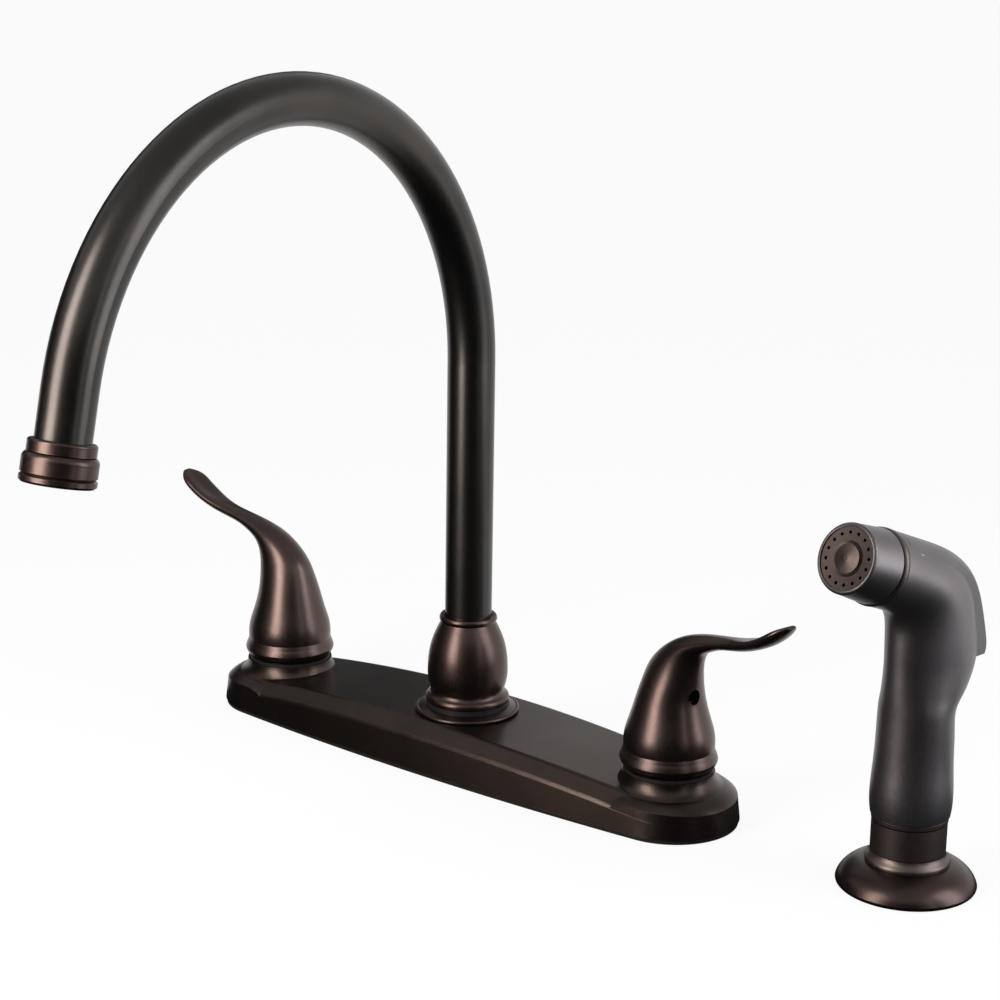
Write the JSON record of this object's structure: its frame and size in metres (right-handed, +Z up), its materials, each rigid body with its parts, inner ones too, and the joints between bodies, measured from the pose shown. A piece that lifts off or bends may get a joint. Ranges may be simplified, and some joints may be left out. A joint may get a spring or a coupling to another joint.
{
  "type": "two handle kitchen faucet",
  "caption": "Two handle centreset kitchen faucet on a long deck plate, with a swivelling gooseneck spout, lever handles and a separate side sprayer.",
  "frame": {"origin": "middle of the deck plate's underside, on the spout post's axis, level with the sink deck", "axes": "+X towards the cold handle and the sprayer, -Y towards the person at the sink, +Z up out of the deck"},
  "size_m": [0.3934, 0.2751, 0.3362],
  "materials": {
    "bronze_finish": "satin oil-rubbed bronze",
    "sprayer_finish": "satin bronze coat on plastic",
    "black_rubber": "matt",
    "brass": "as cast and turned",
    "nylon": "moulded",
    "stainless": "plain"
  },
  "bodies": {
    "base": {"deck_plate": "bronze_finish", "base_gasket": "black_rubber", "valve_body": "brass", "spray_outlet_nipple": "brass", "spout_flange": "bronze_finish", "hub_seal_ring": "black_rubber", "spout_hub_nut": "bronze_finish", "spout_bush": "nylon", "diverter_seat": "nylon", "spray_flange": "bronze_finish", "spray_guide": "sprayer_finish", "spray_guide_washer": "stainless", "spray_guide_nut": "nylon", "hot_inlet_shank": "brass", "hot_washer": "stainless", "hot_mounting_nut": "nylon", "hot_cartridge": "nylon", "hot_bonnet_nut": "brass", "hot_seal_ring": "black_rubber", "cold_inlet_shank": "brass", "cold_washer": "stainless", "cold_mounting_nut": "nylon", "cold_cartridge": "nylon", "cold_bonnet_nut": "brass", "cold_seal_ring": "black_rubber"},
    "spout": {"spout_tube": "bronze_finish", "spout_stem": "brass", "spout_o_rings": "black_rubber", "spout_end_collar": "bronze_finish", "aerator_housing": "bronze_finish", "aerator_washer": "black_rubber", "aerator_insert": "nylon", "aerator_screen": "nylon"},
    "hot_lever": {"hot_stem": "brass", "hot_handle": "bronze_finish", "hot_set_screw": "stainless"},
    "cold_lever": {"cold_stem": "brass", "cold_handle": "bronze_finish", "cold_set_screw": "stainless"},
    "diverter": {"diverter_piston": "nylon"},
    "sprayer": {"hose_collar": "sprayer_finish", "hose_nipple": "brass", "hose_ring": "sprayer_finish", "spray_grip": "sprayer_finish", "head_ring": "sprayer_finish", "head_seal": "black_rubber", "spray_head": "sprayer_finish", "spray_face": "sprayer_finish", "face_button": "sprayer_finish", "lever_pin": "stainless", "spray_valve_seat": "nylon", "spray_spring": "stainless"},
    "trigger": {"spray_lever": "sprayer_finish"},
    "spray_valve": {"spray_plunger": "nylon"}
  },
  "joints": [
    {"name": "spout_swivel", "type": "hinge", "parent": "base", "child": "spout", "pos_m": [0, 0, 0.05], "axis": [0, 0, 1], "continuous": true},
    {"name": "hot_handle_turn", "type": "hinge", "parent": "base", "child": "hot_lever", "pos_m": [-0.1016, 0, 0.03], "axis": [0, 0, 1], "range_deg": [0, 90]},
    {"name": "cold_handle_turn", "type": "hinge", "parent": "base", "child": "cold_lever", "pos_m": [0.1016, 0, 0.03], "axis": [0, 0, 1], "range_deg": [-90, 0]},
    {"name": "diverter_lift", "type": "slide", "parent": "base", "child": "diverter", "axis": [0, 0, 1], "range_m": [0, 0.0025]},
    {"name": "sprayer_lift", "type": "slide", "parent": "base", "child": "sprayer", "axis": [0, 0, 1], "range_m": [0, 0.08]},
    {"name": "trigger_press", "type": "hinge", "parent": "sprayer", "child": "trigger", "pos_m": [0.20068, -0.00901, 0.12889], "axis": [-0.9848, 0.1736, 0], "range_deg": [0, 4], "stiffness_Nm_per_rad": 0.5, "springref_deg": -11.46},
    {"name": "plunger_slide", "type": "slide", "parent": "sprayer", "child": "spray_valve", "axis": [-0.1685, -0.9556, -0.2419], "range_m": [0, 0.0029], "deforming": ["spray_spring"]}
  ],
  "couplings": [
    {"joint": "plunger_slide", "follows": "trigger_press", "m_per_rad": 0.040623}
  ]
}
